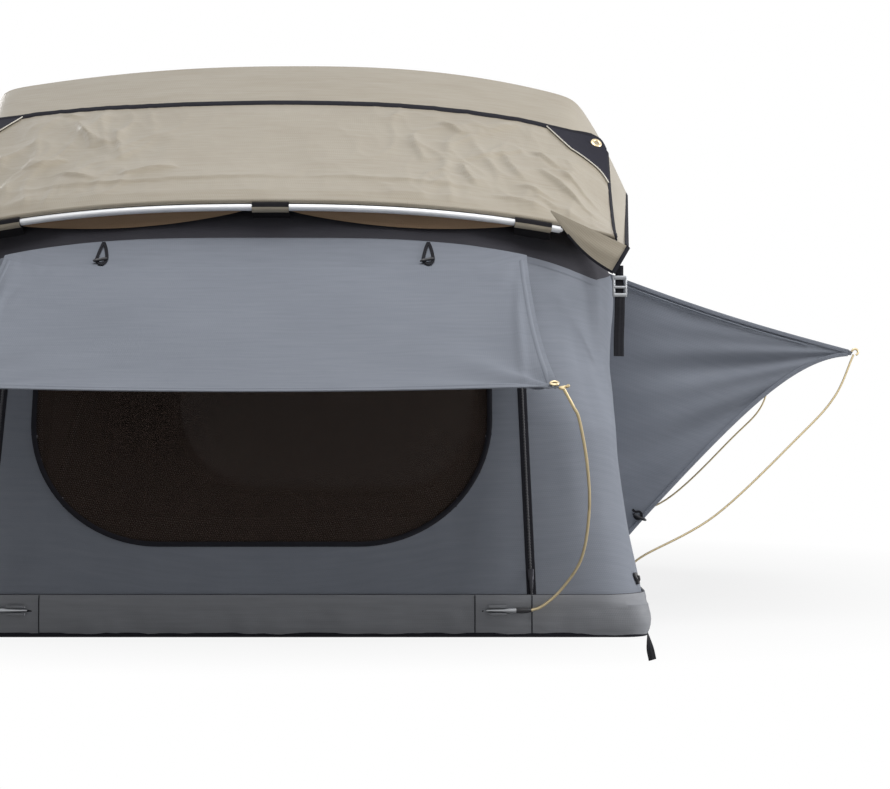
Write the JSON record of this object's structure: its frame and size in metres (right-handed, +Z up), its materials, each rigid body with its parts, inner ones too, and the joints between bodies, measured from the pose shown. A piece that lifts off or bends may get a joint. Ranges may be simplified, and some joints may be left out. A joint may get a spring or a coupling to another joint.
{
  "type": "roof top tent",
  "caption": "Fold-out soft-shell roof top tent on a hinged base, with bows, a fly sheet, a front awning on spring rods and hooded side awnings.",
  "frame": {"origin": "centre of the four rack bolt holes, on the underside of the mounting channels", "axes": "+Z up, -Y towards the entrance end, +X to the right seen from the entrance"},
  "size_m": [2.2722, 2.7775, 1.1896],
  "materials": {
    "aluminium": "satin mill finish",
    "panel": "skinned foam-core board",
    "steel": "bright zinc plate",
    "zinc_rod": "yellow zinc plate",
    "brass": "rolled brass",
    "foam": "woven mattress cover",
    "canvas": "coated poly-cotton canvas",
    "skirt": "heavy coated fabric",
    "mesh": "fine insect mesh",
    "fly": "coated polyester",
    "webbing": "woven webbing and tape",
    "black_plastic": "moulded"
  },
  "bodies": {
    "base_rear": {"rack_channels": "aluminium", "channel_bolts": "steel", "rear_base_frame": "aluminium", "rear_floor_panel": "panel", "rear_mattress": "foam", "rear_hinge_brackets": "steel", "pivot_bolts": "steel", "pivot_nuts": "steel", "pivot_spacers": "black_plastic", "rear_canvas": "canvas", "rear_window_mesh": "mesh", "rear_side_meshes": "mesh", "rear_fly": "fly", "rear_side_awnings": "canvas", "rear_side_rods": "zinc_rod", "rear_rod_pockets": "skirt", "rear_skirt": "skirt", "rear_fly_buckles": "black_plastic", "rear_fly_tails": "webbing", "rear_corner_straps": "webbing"},
    "base_front": {"front_base_frame": "aluminium", "front_floor_panel": "panel", "front_mattress": "foam", "front_hinge_brackets": "steel", "front_canvas": "canvas", "front_window_mesh": "mesh", "front_side_meshes": "mesh", "front_fly": "fly", "front_side_awnings": "canvas", "front_side_rods": "zinc_rod", "front_rod_pockets": "skirt", "front_skirt": "skirt", "front_zips": "webbing", "front_toggles": "black_plastic", "awning_seam": "canvas", "front_fly_buckles": "black_plastic", "front_fly_tails": "webbing", "front_corner_straps": "webbing"},
    "bow_front": {"front_bow": "aluminium", "front_bow_eyes": "steel", "front_fly_pole": "aluminium", "front_pole_tabs": "webbing"},
    "bow_mid": {"mid_bow": "aluminium", "mid_bow_eyes": "steel", "mid_fly_pole": "aluminium", "mid_pole_tabs": "webbing"},
    "bow_rear": {"rear_bow": "aluminium", "rear_bow_eyes": "steel", "rear_fly_pole": "aluminium", "rear_pole_tabs": "webbing"},
    "porch": {"porch_flap": "fly", "porch_flap_patches": "webbing", "porch_flap_grommets": "brass"},
    "awning": {"front_awning": "canvas", "awning_eyelets": "brass"},
    "right_rod": {"right_front_rod": "zinc_rod"},
    "left_rod": {"left_front_rod": "zinc_rod"},
    "right_slider": {"right_zip_slider": "black_plastic"},
    "left_slider": {"left_zip_slider": "black_plastic"}
  },
  "joints": [
    {"name": "base_fold", "type": "hinge", "parent": "base_rear", "child": "base_front", "pos_m": [0, -0.6075, 0.137], "axis": [-1, 0, 0], "range_deg": [0, 180], "deforming": ["rear_mattress", "front_mattress", "front_canvas", "rear_canvas", "front_window_mesh", "rear_window_mesh", "front_side_meshes", "rear_side_meshes", "front_fly", "rear_fly", "porch_flap", "porch_flap_patches", "porch_flap_grommets", "front_awning", "awning_seam", "awning_eyelets", "right_front_rod", "left_front_rod", "front_zips", "right_zip_slider", "left_zip_slider", "front_side_awnings", "rear_side_awnings", "front_side_rods", "rear_side_rods", "front_toggles", "front_fly_buckles", "rear_fly_buckles", "front_fly_tails", "rear_fly_tails"]},
    {"name": "front_bow_fold", "type": "hinge", "parent": "base_rear", "child": "bow_front", "pos_m": [0, -0.6075, 0.137], "axis": [-1, 0, 0], "range_deg": [0, 147]},
    {"name": "mid_bow_fold", "type": "hinge", "parent": "base_rear", "child": "bow_mid", "pos_m": [0, -0.6075, 0.137], "axis": [-1, 0, 0], "range_deg": [0, 90.5]},
    {"name": "rear_bow_fold", "type": "hinge", "parent": "base_rear", "child": "bow_rear", "pos_m": [0, -0.6075, 0.137], "axis": [-1, 0, 0], "range_deg": [0, 34]},
    {"name": "awning_swing", "type": "hinge", "parent": "base_front", "child": "awning", "pos_m": [0, -1.63973, 0.687], "axis": [1, 0, 0], "range_deg": [0, 44]},
    {"name": "right_rod_swing", "type": "hinge", "parent": "base_front", "child": "right_rod", "pos_m": [0.44, -1.8418, 0.076], "axis": [1, 0, 0], "range_deg": [0, 110.5]},
    {"name": "left_rod_swing", "type": "hinge", "parent": "base_front", "child": "left_rod", "pos_m": [-0.44, -1.8418, 0.076], "axis": [1, 0, 0], "range_deg": [0, 110.5]},
    {"name": "porch_swing", "type": "hinge", "parent": "base_front", "child": "porch", "pos_m": [0, -1.63879, 0.79004], "axis": [1, 0, 0], "range_deg": [0, 178]},
    {"name": "right_zip", "type": "slide", "parent": "base_front", "child": "right_slider", "axis": [-0.0349, 0.3142, 0.9487], "range_m": [0, 0.45]},
    {"name": "left_zip", "type": "slide", "parent": "base_front", "child": "left_slider", "axis": [0.0349, 0.3142, 0.9487], "range_m": [0, 0.45]}
  ],
  "couplings": [
    {"joint": "front_bow_fold", "follows": "base_fold", "ratio": 0.81389},
    {"joint": "mid_bow_fold", "follows": "base_fold", "ratio": 0.5},
    {"joint": "rear_bow_fold", "follows": "base_fold", "ratio": 0.18611},
    {"joint": "right_rod_swing", "follows": "awning_swing", "ratio": 2.5},
    {"joint": "left_rod_swing", "follows": "awning_swing", "ratio": 2.5}
  ]
}
